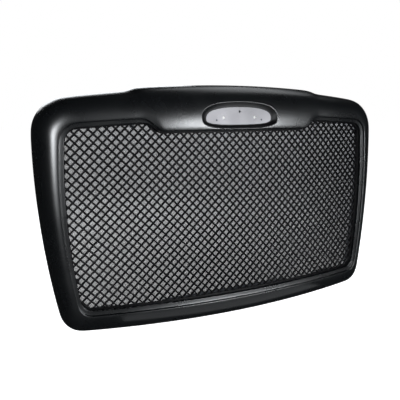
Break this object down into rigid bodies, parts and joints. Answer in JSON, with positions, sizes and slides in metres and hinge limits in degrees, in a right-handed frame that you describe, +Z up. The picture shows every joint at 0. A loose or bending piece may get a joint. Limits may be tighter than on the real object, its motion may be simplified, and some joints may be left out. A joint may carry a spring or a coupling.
{
  "type": "front grille",
  "caption": "Bowed black truck grille: moulded surround with a raised emblem housing, diamond mesh, and a bug screen held from behind by quarter-turn tabs.",
  "frame": {"origin": "middle of the four outer hood studs, in the plane on which their brackets seat on the hood", "axes": "+X to the right as seen from in front of the truck, +Y back into the hood along the studs, +Z up"},
  "size_m": [1.1818, 0.1439, 0.725],
  "materials": {
    "moulded_abs": "fine matt grain",
    "mesh_abs": "satin moulded",
    "foam_rubber": "closed cell foam",
    "satin_aluminium": "satin",
    "rivet_aluminium": "bright",
    "spring_steel": "satin",
    "screen_wire": "woven wire, satin",
    "frame_plastic": "satin",
    "nylon": "satin moulded",
    "black_zinc_screw": "black zinc",
    "coated_steel": "black electrocoat",
    "zinc_steel": "zinc plated"
  },
  "bodies": {
    "grille": {"surround": "moulded_abs", "emblem_pocket": "moulded_abs", "screw_bosses": "moulded_abs", "bracket_towers": "moulded_abs", "mesh_border": "mesh_abs", "mesh_lattice": "mesh_abs", "mesh_gasket": "foam_rubber", "mesh_screws": "black_zinc_screw", "emblem_plate": "satin_aluminium", "plate_rivets": "rivet_aluminium", "plate_clips": "spring_steel", "bug_screen": "screen_wire", "screen_frame": "frame_plastic", "retainer_screws": "black_zinc_screw", "retainer_washers": "spring_steel", "bracket_top_left": "coated_steel", "bracket_top_right": "coated_steel", "bracket_low_left": "coated_steel", "bracket_low_right": "coated_steel", "bracket_inner_top": "coated_steel", "bracket_inner_low": "coated_steel", "bracket_screws": "black_zinc_screw", "hood_studs_outer": "zinc_steel", "hood_studs_inner": "zinc_steel", "top_seal": "foam_rubber", "bottom_seal": "foam_rubber", "left_seal": "foam_rubber", "right_seal": "foam_rubber"},
    "tab_low_left": {"retainer_low_left": "nylon"},
    "tab_low_right": {"retainer_low_right": "nylon"},
    "tab_side_left": {"retainer_side_left": "nylon"},
    "tab_side_right": {"retainer_side_right": "nylon"},
    "tab_top_left": {"retainer_top_left": "nylon"},
    "tab_top_right": {"retainer_top_right": "nylon"}
  },
  "joints": [
    {"name": "turn_low_left", "type": "hinge", "parent": "grille", "child": "tab_low_left", "pos_m": [-0.15461, -0.06688, -0.29488], "axis": [-0.0444, -0.999, 0], "range_deg": [0, 90]},
    {"name": "turn_low_right", "type": "hinge", "parent": "grille", "child": "tab_low_right", "pos_m": [0.15461, -0.06688, -0.29488], "axis": [0.0444, -0.999, 0], "range_deg": [0, 90]},
    {"name": "turn_side_left", "type": "hinge", "parent": "grille", "child": "tab_side_left", "pos_m": [-0.5149, -0.03208, -0.20354], "axis": [-0.1477, -0.989, 0], "range_deg": [0, 90]},
    {"name": "turn_side_right", "type": "hinge", "parent": "grille", "child": "tab_side_right", "pos_m": [0.5149, -0.03208, -0.20354], "axis": [0.1477, -0.989, 0], "range_deg": [0, 90]},
    {"name": "turn_top_left", "type": "hinge", "parent": "grille", "child": "tab_top_left", "pos_m": [-0.33716, -0.05397, 0.27771], "axis": [-0.0967, -0.9953, 0], "range_deg": [0, 90]},
    {"name": "turn_top_right", "type": "hinge", "parent": "grille", "child": "tab_top_right", "pos_m": [0.33716, -0.05397, 0.27771], "axis": [0.0967, -0.9953, 0], "range_deg": [0, 90]}
  ]
}
